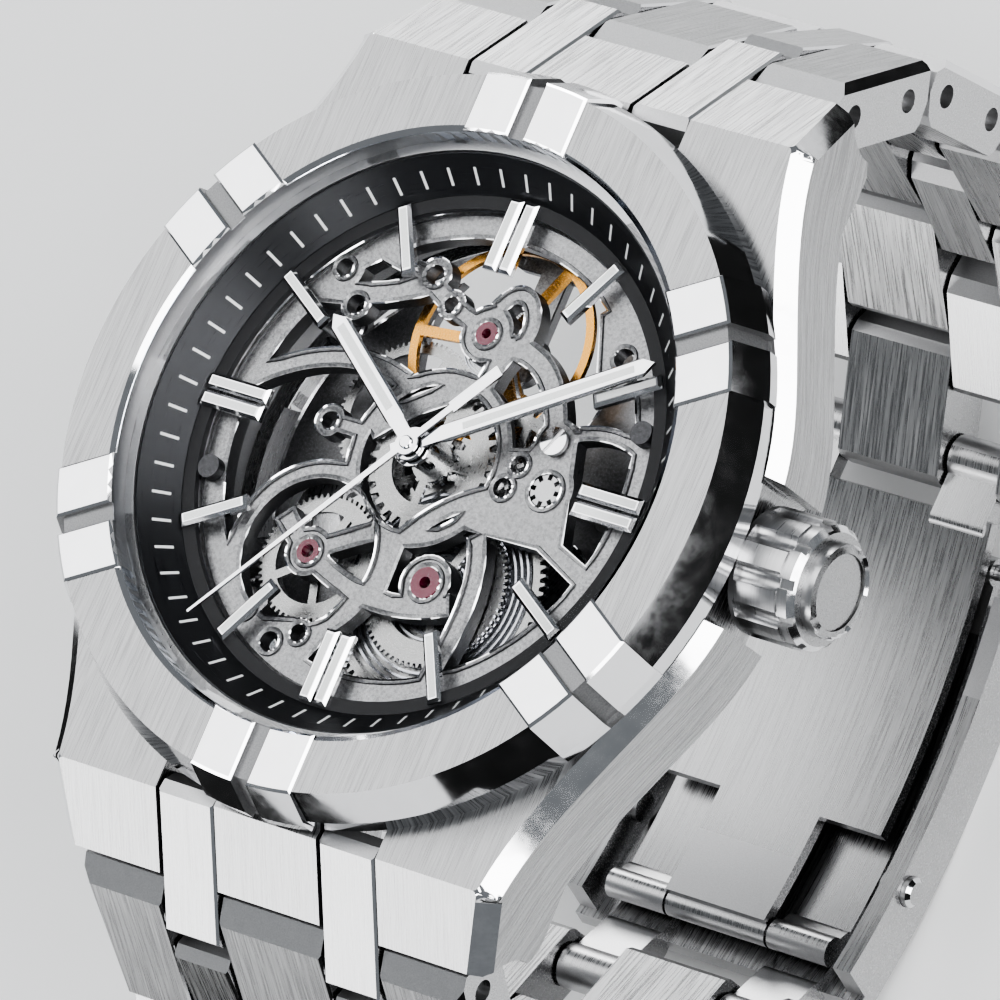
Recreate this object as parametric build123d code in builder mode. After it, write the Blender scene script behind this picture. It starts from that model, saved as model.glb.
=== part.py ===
from build123d import *
import math
import os

# Skeleton wristwatch with an integrated three-row bracelet and a tri-fold clasp.
# Frame: +X to the crown, +Y to 12 o'clock, +Z out of the dial. The origin is the
# centre of the caseback's outer face. All sizes are in millimetres.

os.makedirs("parts", exist_ok=True)

# ---- case heights ----
BACK_TOP = 1.4            # caseback flange meets the case middle here
FLANK_BOTTOM = 2.85       # lower edge of the brushed flanks
CASE_TOP = 7.6            # flat shoulder that carries the bezel
BEZEL_EDGE = 8.7          # foot of the bezel's polished slope
BEZEL_TOP = 10.85
CLAW_TOP = 11.0
CRYSTAL_SEAT = 9.6
CRYSTAL_TOP = 10.95

# ---- case radii ----
CASE_BORE = 15.0
CRYSTAL_RADIUS = 15.5
BEZEL_TOP_RADIUS = 18.45
BEZEL_FOOT_RADIUS = 19.23
CLAW_TOP_RADIUS = 18.55
CLAW_FOOT_RADIUS = 19.5
BACK_RADIUS = 17.0
BACK_GLASS_RADIUS = 13.2
CLAW_NEAR = 0.46          # half of the gap inside each pair of claws
CLAW_FAR = 3.06           # outer side of each claw

# ---- case outline ----
CASE_HALF_WIDTH = 19.75
LUG_SHOULDER_Y = 19.5     # the flat top ends and the lug slope begins
LUG_SHOULDER_X = 13.8
LUG_TIP_Y = 22.95
LUG_TIP_Z = 4.5
LUG_TIP_X = 12.95
LUG_SLOPE = math.degrees(math.atan2(CASE_TOP - LUG_TIP_Z, LUG_TIP_Y - LUG_SHOULDER_Y))
CROWN_NOTCH = 3.75
CROWN_NOTCH_X = 18.4
CROWN_Z = 4.4

# ---- dial side ----
DIAL_RING_TOP = 7.68
DIAL_RING_INNER = 12.7
MARKER_TOP = 8.13
MARKER_INNER = 9.57
MARKER_OUTER = 13.3
REHAUT_INNER = 13.4
REHAUT_TOP = 9.45

# ---- movement levels ----
PLATE_TOP = 7.1
PLATE_BOTTOM = 6.2
PLATE_RADIUS = 12.85
BRIDGE_BOTTOM = 3.1
BRIDGE_TOP = 3.7
RING_BOTTOM = 3.2         # movement ring
RING_TOP = 7.3
HUB_ARM_BOTTOM = 6.75     # arms over the motion works
JEWEL_BOTTOM = 6.35
ROTOR_BOTTOM = 1.75
CENTRE_WHEEL_BOTTOM = 5.05
HOUR_WHEEL_BOTTOM = 6.45
DRUM_BOTTOM = 5.35
WINDING_WHEEL_BOTTOM = 5.88
WINDING_WHEEL_TOP = 6.08
BALANCE_BOTTOM = 5.35
ARBOR_TOP = 4.9           # pivots of the escape wheel and the pallet fork
STEM_RADIUS = 0.5

# ---- hands ----
HOUR_HAND_BOTTOM = 8.42
MINUTE_HAND_BOTTOM = 8.78
SECONDS_HAND_BOTTOM = 9.1
HAND_THICKNESS = 0.22

# ---- movement positions ----
BARREL = (2.75, -5.9)
REDUCTION = (-4.4, -6.1)
BALANCE = (0.3, 6.7)
THIRD_DISTANCE = 4.3
THIRD_ANGLE = 150.0
ESCAPE_DISTANCE = 4.25
ESCAPE_ANGLE = 35.0
MINUTE_DISTANCE = 4.25
MINUTE_ANGLE = 8.0
PALLET_FROM_ESCAPE = 2.4

# ---- hands, drawn at 10:09:36 ----
HOUR_ANGLE = 145.2        # counter-clockwise from +X, seen from the dial side
MINUTE_HAND_ANGLE = 32.4
SECONDS_ANGLE = 234.0

# ---- bracelet ----
LINK_HALF = 1.7           # half thickness of every link
BAR_PIN = 3.7             # pin spacing in a narrow bar
ROW_PIN = 4.9             # pin spacing in a wide row
ROWS = 5
ROW_BEND = 17.0
BAR_BEND = 6.0
CENTRE_HALF = 3.15        # centre block reaches this far each side
BAR_INNER = 3.3
BAR_OUTER = 6.65
SIDE_INNER = 6.8
ROW_HALF_WIDTH = 12.0     # at the case
CLASP_HALF_WIDTH = 9.1    # at the clasp
PIN_RADIUS = 0.6
FIT = 0.03                # radial clearance of a running fit
LUG_PIN_DOWN = 2.7        # lug pin, along the slope from the shoulder

# ---- clasp ----
CLASP_RADIUS = 45.0
COVER_END = 15.8          # degrees each side of the lowest point
CLASP_HINGE = 13.7


def along(angle, distance):
    """Point at a distance from the dial centre, in the dial's plane."""
    return (distance * math.cos(math.radians(angle)), distance * math.sin(math.radians(angle)))


THIRD = along(THIRD_ANGLE, THIRD_DISTANCE)
ESCAPE = along(ESCAPE_ANGLE, ESCAPE_DISTANCE)
MINUTE_WHEEL = along(MINUTE_ANGLE, MINUTE_DISTANCE)
ESCAPE_TO_BALANCE = math.dist(ESCAPE, BALANCE)
PALLET = tuple(
    start + (end - start) * PALLET_FROM_ESCAPE / ESCAPE_TO_BALANCE
    for start, end in zip(ESCAPE, BALANCE)
)


def export(piece, name):
    """Label one finished sub-part and write it."""
    piece.part.label = name
    export_step(piece.part, f"parts/{name}.step")


def turned(*profile):
    """Solid turned about the dial axis from (radius, height) points."""
    with BuildPart() as body:
        with BuildSketch(Plane.XZ):
            with BuildLine():
                Polyline(*profile, close=True)
            make_face()
        revolve(axis=Axis.Z)
    return body.part


def gear_points(teeth, module, phase=0.0, tip=0.85, root=1.15):
    """Outline of a wheel with slim teeth; one tooth points along phase degrees."""
    pitch_radius = teeth * module / 2
    step = 360 / teeth
    points = []
    for tooth in range(teeth):
        for offset, radius in (
            (-0.30, pitch_radius - root * module),
            (-0.13, pitch_radius + tip * module),
            (0.13, pitch_radius + tip * module),
            (0.30, pitch_radius - root * module),
        ):
            points.append(along(phase + (tooth + offset) * step, radius))
    return points


def wheel(centre, levels, teeth, module, phase, rim, spokes, hub, bore=0.0):
    """Spoked train wheel between two levels, standing at centre."""
    bottom, top = levels
    inner = teeth * module / 2 - 1.15 * module - rim
    with BuildPart() as body:
        with BuildSketch(Plane.XY.offset(bottom)):
            with Locations(centre):
                with BuildLine(mode=Mode.PRIVATE) as outline:
                    Polyline(*gear_points(teeth, module, phase), close=True)
                add(make_face(outline.edges(), mode=Mode.PRIVATE))
                if spokes:
                    Circle(inner, mode=Mode.SUBTRACT)
                    with PolarLocations(inner / 2, spokes):
                        Rectangle(inner + 0.4, 0.45)
                    Circle(hub)
                if bore:
                    Circle(bore, mode=Mode.SUBTRACT)
        extrude(amount=top - bottom)
    return body.part


# =====================================================================
# Case middle
# =====================================================================
LUG_PIN_Y = (LUG_SHOULDER_Y + LUG_PIN_DOWN * math.cos(math.radians(LUG_SLOPE))
             - LINK_HALF * math.sin(math.radians(LUG_SLOPE)))
LUG_PIN_Z = (CASE_TOP - LUG_PIN_DOWN * math.sin(math.radians(LUG_SLOPE))
             - LINK_HALF * math.cos(math.radians(LUG_SLOPE)))
FIRST_ROW_Y = LUG_PIN_Y + BAR_PIN * math.cos(math.radians(LUG_SLOPE))
FIRST_ROW_Z = LUG_PIN_Z - BAR_PIN * math.sin(math.radians(LUG_SLOPE))
BAR_SWEEP = 4.05          # clears a bar's rounded tail at any angle
ROW_SWEEP = 1.98          # clears a row's rounded end at any angle

with BuildPart() as case_middle:
    with BuildSketch(Plane.XY.offset(BACK_TOP)):
        with BuildLine():
            flank = Spline(
                (LUG_SHOULDER_X, LUG_SHOULDER_Y),
                (15.2, 14.6),
                (17.6, 9.3),
                (19.4, 4.4),
                (CASE_HALF_WIDTH, 0),
                (19.4, -4.4),
                (17.6, -9.3),
                (15.2, -14.6),
                (LUG_SHOULDER_X, -LUG_SHOULDER_Y),
            )
            Polyline(flank @ 1, (LUG_TIP_X, -LUG_TIP_Y - 0.3), (0, -LUG_TIP_Y - 0.3))
            Polyline(flank @ 0, (LUG_TIP_X, LUG_TIP_Y + 0.3), (0, LUG_TIP_Y + 0.3))
            Line((0, LUG_TIP_Y + 0.3), (0, -LUG_TIP_Y - 0.3))
        make_face()
        mirror(about=Plane.YZ)
    extrude(amount=CASE_TOP - BACK_TOP)
    # side view: shoulders, lug slopes and the hollow underside
    with BuildSketch(Plane.YZ):
        with BuildLine():
            Polyline(
                (0, CASE_TOP),
                (LUG_SHOULDER_Y, CASE_TOP),
                (LUG_TIP_Y, LUG_TIP_Z),
                (LUG_TIP_Y - 0.6, 3.0),
                (LUG_TIP_Y - 1.6, 2.0),
                (LUG_TIP_Y - 2.5, 1.75),
                (18.6, 2.3),
                (17.2, FLANK_BOTTOM),
                (0, FLANK_BOTTOM),
                close=True,
            )
        make_face()
        mirror(about=Plane.YZ)
    extrude(amount=CASE_HALF_WIDTH + 1, both=True, mode=Mode.INTERSECT)
    # polished bevel along the flanks and the lugs
    rim_edges = case_middle.edges().filter_by(
        lambda edge: abs(edge.center().X) > 12.7 and edge.center().Z > 5.8 and edge.length > 3.5
    )
    chamfer(rim_edges, length=0.85)
    # drum that takes the caseback
    with BuildSketch(Plane.XY.offset(BACK_TOP)):
        Circle(BACK_RADIUS + 0.3)
    extrude(amount=CASE_TOP - BACK_TOP - 1)
    with BuildSketch(Plane.XY.offset(BACK_TOP)):
        Circle(CASE_BORE)
    extrude(amount=CASE_TOP, mode=Mode.SUBTRACT)
    # crown recess and stem bore
    with BuildSketch(Plane.XY):
        with Locations((CROWN_NOTCH_X + 3, 0)):
            RectangleRounded(6, 2 * CROWN_NOTCH, 0.35)
    extrude(amount=CASE_TOP + 1, mode=Mode.SUBTRACT)
    with BuildSketch(Plane.YZ.offset(CASE_BORE - 1)):
        with Locations((0, CROWN_Z)):
            Circle(STEM_RADIUS + FIT)
    extrude(amount=6, mode=Mode.SUBTRACT)
    # slots between the three prongs of each lug end
    for side in (1, -1):
        for hand in (1, -1):
            with BuildSketch(Plane.YZ.offset(hand * (BAR_INNER + BAR_OUTER) / 2)):
                with Locations((side * LUG_PIN_Y, LUG_PIN_Z)):
                    Circle(BAR_SWEEP)
                    with Locations((side * 3, 0)):
                        Rectangle(6, 2 * BAR_SWEEP)
            extrude(amount=(SIDE_INNER - CENTRE_HALF) / 2, both=True, mode=Mode.SUBTRACT)
        with BuildSketch(Plane.YZ):
            with Locations((side * LUG_PIN_Y, LUG_PIN_Z)):
                Circle(PIN_RADIUS)
        extrude(amount=LUG_TIP_X - 0.6, both=True, mode=Mode.SUBTRACT)
        # hollow end of the lug, clear of the first row as it swings
        with BuildSketch(Plane.YZ):
            with Locations((side * FIRST_ROW_Y, FIRST_ROW_Z)):
                Circle(ROW_SWEEP)
        extrude(amount=CASE_HALF_WIDTH, both=True, mode=Mode.SUBTRACT)
export(case_middle, "case_middle")

with BuildPart() as lug_pins:
    for side in (1, -1):
        with BuildSketch(Plane.YZ):
            with Locations((side * LUG_PIN_Y, LUG_PIN_Z)):
                Circle(PIN_RADIUS)
        extrude(amount=LUG_TIP_X - 0.6, both=True)
export(lug_pins, "lug_pins")

# =====================================================================
# Bezel with six pairs of claws
# =====================================================================
claw_ring = turned(
    (CRYSTAL_RADIUS, 9.9), (CRYSTAL_RADIUS, CLAW_TOP - 0.15), (CRYSTAL_RADIUS + 0.15, CLAW_TOP),
    (CLAW_TOP_RADIUS - 0.1, CLAW_TOP), (CLAW_TOP_RADIUS + 0.05, CLAW_TOP - 0.12),
    (CLAW_FOOT_RADIUS, BEZEL_EDGE), (CLAW_FOOT_RADIUS, 8.0), (18.0, 8.0),
)
groove_ring = turned(
    (CRYSTAL_RADIUS - 0.1, BEZEL_TOP - 0.18), (CRYSTAL_RADIUS - 0.1, CLAW_TOP + 0.5),
    (CLAW_FOOT_RADIUS + 0.5, CLAW_TOP + 0.5), (CLAW_FOOT_RADIUS + 0.5, BEZEL_EDGE - 0.7),
    (BEZEL_FOOT_RADIUS - 0.18, BEZEL_EDGE - 0.7), (BEZEL_FOOT_RADIUS - 0.18, BEZEL_EDGE),
    (BEZEL_TOP_RADIUS - 0.15, BEZEL_TOP - 0.18),
)

with BuildPart() as claws:
    for turn in range(6):
        with BuildSketch(Plane.XY.offset(7).rotated((0, 0, 30 + 60 * turn))):
            with Locations((17.5, (CLAW_NEAR + CLAW_FAR) / 2), (17.5, -(CLAW_NEAR + CLAW_FAR) / 2)):
                Rectangle(6, CLAW_FAR - CLAW_NEAR)
    extrude(amount=6)
    add(claw_ring, mode=Mode.INTERSECT)
    upper_edges = claws.edges().filter_by(lambda edge: edge.center().Z > CLAW_TOP - 0.02)
    upper_edges = upper_edges.filter_by(GeomType.LINE)
    chamfer(upper_edges, length=0.12)

with BuildPart() as claw_gaps:
    for turn in range(6):
        with BuildSketch(Plane.XY.offset(7).rotated((0, 0, 30 + 60 * turn))):
            with Locations((17.5, 0)):
                Rectangle(6, 2 * CLAW_NEAR)
    extrude(amount=6)
    add(groove_ring, mode=Mode.INTERSECT)

with BuildPart() as bezel:
    add(turned(
        (CASE_BORE, CASE_TOP), (CASE_BORE, CRYSTAL_SEAT), (CRYSTAL_RADIUS, CRYSTAL_SEAT),
        (CRYSTAL_RADIUS, BEZEL_TOP - 0.2), (CRYSTAL_RADIUS + 0.3, BEZEL_TOP),
        (BEZEL_TOP_RADIUS, BEZEL_TOP), (BEZEL_FOOT_RADIUS, BEZEL_EDGE),
        (BEZEL_FOOT_RADIUS, CASE_TOP),
    ))
    add(claw_gaps.part, mode=Mode.SUBTRACT)
    add(claws.part)
export(bezel, "bezel")

with BuildPart() as crystal:
    add(turned(
        (0, CRYSTAL_SEAT), (CRYSTAL_RADIUS, CRYSTAL_SEAT), (CRYSTAL_RADIUS, CRYSTAL_TOP - 0.2),
        (CRYSTAL_RADIUS - 0.2, CRYSTAL_TOP), (0, CRYSTAL_TOP),
    ))
export(crystal, "crystal")

# =====================================================================
# Caseback
# =====================================================================
with BuildPart() as caseback_ring:
    add(turned(
        (BACK_GLASS_RADIUS, 0.3), (BACK_GLASS_RADIUS + 0.4, 0), (BACK_RADIUS - 0.7, 0),
        (BACK_RADIUS, 0.5), (BACK_RADIUS, BACK_TOP), (BACK_GLASS_RADIUS, BACK_TOP),
    ))
    with BuildSketch(Plane.XY):
        with PolarLocations(BACK_RADIUS, 6):
            Rectangle(1.6, 2.2)
    extrude(amount=0.8, mode=Mode.SUBTRACT)
export(caseback_ring, "caseback_ring")

with BuildPart() as caseback_glass:
    with BuildSketch(Plane.XY.offset(0.3)):
        Circle(BACK_GLASS_RADIUS)
    extrude(amount=1.0)
export(caseback_glass, "caseback_glass")

# =====================================================================
# Dial ring, rehaut and hour markers
# =====================================================================
with BuildPart() as movement_ring:
    with BuildSketch(Plane.XY.offset(RING_BOTTOM)):
        Circle(CASE_BORE)
        Circle(PLATE_RADIUS, mode=Mode.SUBTRACT)
    extrude(amount=RING_TOP - RING_BOTTOM)
    with BuildSketch(Plane.YZ.offset(PLATE_RADIUS - 1)):
        with Locations((0, CROWN_Z)):
            Circle(STEM_RADIUS + FIT)
    extrude(amount=4, mode=Mode.SUBTRACT)
export(movement_ring, "movement_ring")

with BuildPart() as dial_ring:
    with BuildSketch(Plane.XY.offset(RING_TOP)):
        Circle(CASE_BORE)
        Circle(DIAL_RING_INNER, mode=Mode.SUBTRACT)
    extrude(amount=DIAL_RING_TOP - RING_TOP)
export(dial_ring, "dial_ring")

with BuildPart() as rehaut:
    add(turned(
        (REHAUT_INNER, DIAL_RING_TOP), (REHAUT_INNER, DIAL_RING_TOP + 0.05),
        (CASE_BORE - 0.1, REHAUT_TOP), (CASE_BORE, REHAUT_TOP), (CASE_BORE, DIAL_RING_TOP),
    ))
export(rehaut, "rehaut")

MARKER_LENGTH = MARKER_OUTER - MARKER_INNER
MARKER_MIDDLE = (MARKER_OUTER + MARKER_INNER) / 2
with BuildPart() as hour_markers:
    for hour in range(12):
        offsets = (-0.46, 0.46) if hour % 3 == 0 else (0.0,)
        width = 0.8 if hour % 3 == 0 else 0.78
        with BuildSketch(Plane.XY.offset(DIAL_RING_TOP).rotated((0, 0, 30 * hour))):
            for shift in offsets:
                with Locations((MARKER_MIDDLE, shift)):
                    Rectangle(MARKER_LENGTH, width)
    extrude(amount=MARKER_TOP - DIAL_RING_TOP)
    chamfer(hour_markers.edges().group_by(Axis.Z)[-1], length=0.16)
export(hour_markers, "hour_markers")


# =====================================================================
# Hands
# =====================================================================
def baton_hand(angle, bottom, width, tip, collar, bore):
    """Faceted baton hand with a pointed tip, its collar and an open tail."""
    with BuildPart() as hand:
        with BuildSketch(Plane.XY.offset(bottom).rotated((0, 0, angle))):
            with BuildLine():
                Polyline(
                    (-1.0, -0.33), (1.6, -0.38), (2.2, -width / 2), (tip - 0.75, -width / 2), (tip, 0),
                    (tip - 0.75, width / 2), (2.2, width / 2), (1.6, 0.38), (-1.0, 0.33),
                    close=True,
                )
            make_face()
            Circle(collar)
            Circle(bore, mode=Mode.SUBTRACT)
        extrude(amount=HAND_THICKNESS)
        long_edges = hand.edges().group_by(Axis.Z)[-1].filter_by(GeomType.LINE)
        chamfer(long_edges.filter_by(lambda edge: edge.length > 1.5), length=0.1)
    return hand


hour_hand = baton_hand(HOUR_ANGLE, HOUR_HAND_BOTTOM, 1.05, 9.1, 1.0, 0.75)
export(hour_hand, "hour_hand")

minute_hand = baton_hand(MINUTE_HAND_ANGLE, MINUTE_HAND_BOTTOM, 0.95, 13.5, 0.8, 0.55)
export(minute_hand, "minute_hand")

with BuildPart() as seconds_hand:
    with BuildSketch(Plane.XY.offset(SECONDS_HAND_BOTTOM).rotated((0, 0, SECONDS_ANGLE))):
        with BuildLine():
            Polyline((0, -0.17), (13.7, -0.07), (13.7, 0.07), (0, 0.17), close=True)
        make_face()
        with Locations((-2.6, 0)):
            Rectangle(5.2, 0.34)
        with Locations((-4.3, 0)):
            Rectangle(3.0, 0.62)
        Circle(0.62)
    extrude(amount=0.14)
    with BuildSketch(Plane.XY.offset(SECONDS_HAND_BOTTOM)):
        Circle(0.34)
    extrude(amount=0.28)
    chamfer(seconds_hand.edges().group_by(Axis.Z)[-1], length=0.06)
export(seconds_hand, "seconds_hand")

# =====================================================================
# Main plate, skeletonised
# =====================================================================
RIM_INNER = 11.35
HUB_INNER = 3.75
HUB_OUTER = 4.65
LOOP_INNER = 3.75
LOOP_OUTER = 4.75


def arm(width, *points):
    """Constant-width strut along a smooth path, added to the open sketch."""
    with BuildLine(mode=Mode.PRIVATE) as path:
        if len(points) == 2:
            Line(*points)
        else:
            Spline(*points)
    trace(path.edges(), line_width=width)


# bosses of the plate: centre, outer radius, bore radius
BOSSES = (
    ((-9.1, 7.9), 1.2, 0.45),
    ((-7.6, 6.3), 0.85, 0.5),
    ((-3.9, 8.8), 0.95, 0.5),
    ((-2.3, 7.6), 0.8, 0.4),
    ((-6.3, 0.4), 0.85, 0.45),
    ((-4.4, -10.9), 0.95, 0.5),
    ((-3.0, -10.1), 0.8, 0.45),
    ((7.1, 0.1), 1.6, 0.85),
    ((6.6, 2.5), 1.25, 0.4),
    ((8.3, 7.4), 1.1, 0.5),
    (REDUCTION, 1.3, 0.62),
    (BARREL, 1.45, 0.8),
    (BALANCE, 1.5, 0.6),
)

with BuildPart() as main_plate:
    with BuildSketch(Plane.XY.offset(PLATE_BOTTOM)):
        Circle(PLATE_RADIUS)
        Circle(RIM_INNER, mode=Mode.SUBTRACT)
        Circle(HUB_OUTER)
        with Locations(REDUCTION):
            Circle(LOOP_OUTER)
            Circle(LOOP_INNER, mode=Mode.SUBTRACT)
        # foot of the plate at 5 o'clock and its web at 7 o'clock
        with BuildLine():
            Polyline((-5.9, -9.9), (-3.6, -9.4), (-1.6, -9.6), (-2.0, -11.9), (-5.2, -11.2), close=True)
        make_face()
        # wide pad under the keyless works at 3 o'clock
        with BuildLine():
            Polyline(
                (3.0, -2.9), (8.0, -2.8), (12.0, -4.5), (12.0, -3.2), (9.3, -2.2), (8.5, 0.6),
                (7.6, 3.4), (5.9, 3.6), (5.2, 1.9), (4.0, 1.6), (4.0, -0.8),
                close=True,
            )
        make_face()
        # corner pad at 1 o'clock
        with BuildLine():
            Polyline((6.0, 9.2), (7.3, 10.3), (9.9, 7.6), (8.9, 5.6), (7.2, 6.3), close=True)
        make_face()
        arm(1.1, (-11.8, 1.2), (-9.2, 2.9), (-6.4, 3.7), (-3.0, 3.3))
        arm(0.9, (-5.6, 0.4), (-4.2, 0.4))
        arm(1.2, (-10.4, 6.4), (-7.6, 6.9), (-5.2, 7.7), (-3.9, 8.3))
        arm(0.9, (-7.9, 9.4), (-5.6, 8.9), (-3.9, 8.8))
        arm(1.1, (-3.9, 8.4), (-2.3, 7.6), (0.3, 6.9))
        arm(1.0, (0.3, 8.0), (1.8, 8.9), (2.4, 8.2), (2.3, 6.6))
        arm(1.2, (2.3, 6.8), (1.6, 5.4), (1.4, 4.2))
        arm(1.3, (2.3, 6.4), (4.4, 5.7), (5.6, 4.4), (6.4, 2.8))
        arm(1.2, (-6.6, -4.6), (-4.4, -6.1), (0.0, -7.4), (4.6, -6.6))
        arm(1.1, (-4.4, -6.1), (-2.6, -5.0), (-1.2, -4.2))
        arm(1.0, (0.3, -4.2), (0.4, -7.2))
        arm(1.1, (4.4, -2.9), (5.3, -5.2), (5.4, -8.0), (4.9, -11.6))
        arm(1.0, (-0.6, -7.6), (-1.6, -9.4), (-2.6, -11.8))
        arm(0.8, (7.6, 3.2), (9.6, 3.6), (11.8, 3.0))
        for place, outer, bore in BOSSES:
            with Locations(place):
                Circle(outer)
        Circle(PLATE_RADIUS, mode=Mode.INTERSECT)
        Circle(HUB_INNER, mode=Mode.SUBTRACT)
        for place, outer, bore in BOSSES:
            with Locations(place):
                Circle(bore, mode=Mode.SUBTRACT)
        with Locations((5.1, 0.95)):
            Circle(0.45, mode=Mode.SUBTRACT)
        with Locations((4.75, -0.35)):
            Circle(0.5, mode=Mode.SUBTRACT)
    extrude(amount=PLATE_TOP - PLATE_BOTTOM)
    # recess for the minute wheel, open below
    with BuildSketch(Plane.XY.offset(PLATE_BOTTOM)):
        with Locations(MINUTE_WHEEL):
            Circle(3.75)
        Circle(HUB_INNER)
    extrude(amount=0.52, mode=Mode.SUBTRACT)
    # two arms that cross the hub above the motion works
    with BuildSketch(Plane.XY.offset(HUB_ARM_BOTTOM)):
        arm(1.2, (-3.9, 0.5), (-1.9, 2.3), (1.5, 4.2))
        arm(1.1, (0.5, -4.1), (2.1, -2.2), (4.2, -0.9))
    extrude(amount=PLATE_TOP - HUB_ARM_BOTTOM)
export(main_plate, "main_plate")

# =====================================================================
# Motion works and going train
# =====================================================================
MOTION_MODULE = 2 * MINUTE_DISTANCE / 40
CENTRE_MODULE = 2 * THIRD_DISTANCE / 90
THIRD_MODULE = 2 * THIRD_DISTANCE / 85
SECONDS_MODULE = 2 * ESCAPE_DISTANCE / 88
BARREL_MODULE = 2 * math.hypot(*BARREL) / 90
RATCHET_MODULE = 2 * math.dist(BARREL, REDUCTION) / 132
BARREL_ANGLE = math.degrees(math.atan2(BARREL[1], BARREL[0]))
REDUCTION_ANGLE = math.degrees(math.atan2(REDUCTION[1] - BARREL[1], REDUCTION[0] - BARREL[0]))

with BuildPart() as cannon_pinion:
    add(wheel((0, 0), (6.2, 6.42), 10, MOTION_MODULE, MINUTE_ANGLE + 18, 0, 0, 0))
    add(wheel((0, 0), (CENTRE_WHEEL_BOTTOM, 5.25), 80, CENTRE_MODULE, THIRD_ANGLE, 0.5, 4, 0.9))
    add(wheel((0, 0), (5.35, 5.7), 10, BARREL_MODULE, BARREL_ANGLE, 0, 0, 0))
    with BuildSketch(Plane.XY.offset(CENTRE_WHEEL_BOTTOM)):
        Circle(0.55)
    extrude(amount=MINUTE_HAND_BOTTOM + 0.17 - CENTRE_WHEEL_BOTTOM)
    with BuildSketch(Plane.XY.offset(CENTRE_WHEEL_BOTTOM - 0.05)):
        Circle(0.28)
    extrude(amount=4.5, mode=Mode.SUBTRACT)
export(cannon_pinion, "cannon_pinion")

with BuildPart() as hour_wheel:
    add(wheel((0, 0), (HOUR_WHEEL_BOTTOM, 6.65), 32, MOTION_MODULE, MINUTE_ANGLE, 0.9, 4, 1.1))
    with BuildSketch(Plane.XY.offset(HOUR_WHEEL_BOTTOM)):
        Circle(0.75)
    extrude(amount=HOUR_HAND_BOTTOM + 0.18 - HOUR_WHEEL_BOTTOM)
    with BuildSketch(Plane.XY.offset(HOUR_WHEEL_BOTTOM - 0.05)):
        Circle(0.55 + FIT)
    extrude(amount=3, mode=Mode.SUBTRACT)
export(hour_wheel, "hour_wheel")

with BuildPart() as minute_wheel:
    add(wheel(MINUTE_WHEEL, (6.22, 6.38), 30, MOTION_MODULE, MINUTE_ANGLE + 180, 0.6, 4, 0.6))
    add(wheel(MINUTE_WHEEL, (6.38, 6.68), 8, MOTION_MODULE, MINUTE_ANGLE + 180 + 22.5, 0, 0, 0))
export(minute_wheel, "minute_wheel")

with BuildPart() as third_wheel:
    add(wheel(THIRD, (4.75, 4.95), 75, THIRD_MODULE, THIRD_ANGLE + 180, 0.45, 5, 0.8))
    add(wheel(THIRD, (4.95, 5.32), 10, CENTRE_MODULE, THIRD_ANGLE + 180 + 18, 0, 0, 0))
    with BuildSketch(Plane.XY.offset(BRIDGE_TOP)):
        with Locations(THIRD):
            Circle(0.2)
    extrude(amount=5.8 - BRIDGE_TOP)
export(third_wheel, "third_wheel")

with BuildPart() as seconds_wheel:
    add(wheel((0, 0), (3.9, 4.1), 80, SECONDS_MODULE, ESCAPE_ANGLE, 0.45, 5, 0.8))
    add(wheel((0, 0), (4.65, 4.98), 10, THIRD_MODULE, THIRD_ANGLE + 18, 0, 0, 0))
    with BuildSketch(Plane.XY.offset(BRIDGE_TOP)):
        Circle(0.25)
    extrude(amount=SECONDS_HAND_BOTTOM - BRIDGE_TOP)
export(seconds_wheel, "seconds_wheel")

with BuildPart() as escape_wheel:
    with BuildSketch(Plane.XY.offset(4.35)):
        with Locations(ESCAPE):
            with BuildLine(mode=Mode.PRIVATE) as teeth:
                tooth_points = []
                for tooth in range(20):
                    tooth_points.append(along(18 * tooth, 1.45))
                    tooth_points.append(along(18 * tooth + 8, 1.85))
                    tooth_points.append(along(18 * tooth + 10, 1.85))
                    tooth_points.append(along(18 * tooth + 7, 1.45))
                Polyline(*tooth_points, close=True)
            add(make_face(teeth.edges(), mode=Mode.PRIVATE))
            Circle(1.2, mode=Mode.SUBTRACT)
            with PolarLocations(0.6, 4):
                Rectangle(1.5, 0.25)
            Circle(0.4)
    extrude(amount=0.22)
    add(wheel(ESCAPE, (3.85, 4.2), 8, SECONDS_MODULE, ESCAPE_ANGLE + 180 + 22.5, 0, 0, 0))
    with BuildSketch(Plane.XY.offset(BRIDGE_TOP)):
        with Locations(ESCAPE):
            Circle(0.18)
    extrude(amount=ARBOR_TOP - BRIDGE_TOP)
export(escape_wheel, "escape_wheel")

# =====================================================================
# Barrel and winding wheels
# =====================================================================
DRUM_INNER = 5.25
with BuildPart() as barrel_drum:
    with BuildSketch(Plane.XY.offset(DRUM_BOTTOM)):
        with Locations(BARREL):
            with BuildLine(mode=Mode.PRIVATE) as teeth:
                Polyline(*gear_points(80, BARREL_MODULE, BARREL_ANGLE + 180 + 2.25), close=True)
            add(make_face(teeth.edges(), mode=Mode.PRIVATE))
            Circle(0.75 + FIT, mode=Mode.SUBTRACT)
    extrude(amount=0.45)
    with BuildSketch(Plane.XY.offset(DRUM_BOTTOM + 0.1)):
        with Locations(BARREL):
            Circle(DRUM_INNER)
            Circle(0.75 + FIT, mode=Mode.SUBTRACT)
    extrude(amount=0.5, mode=Mode.SUBTRACT)
export(barrel_drum, "barrel_drum")

with BuildPart() as mainspring:
    with BuildSketch(Plane.XY.offset(DRUM_BOTTOM + 0.13)):
        with Locations(BARREL):
            for coil in range(7):
                Circle(5.15 - 0.3 * coil)
                Circle(5.15 - 0.3 * coil - 0.14, mode=Mode.SUBTRACT)
            with Locations((4.1, 0)):
                Rectangle(2.0, 0.12)
    extrude(amount=0.3)
export(mainspring, "mainspring")

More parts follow.
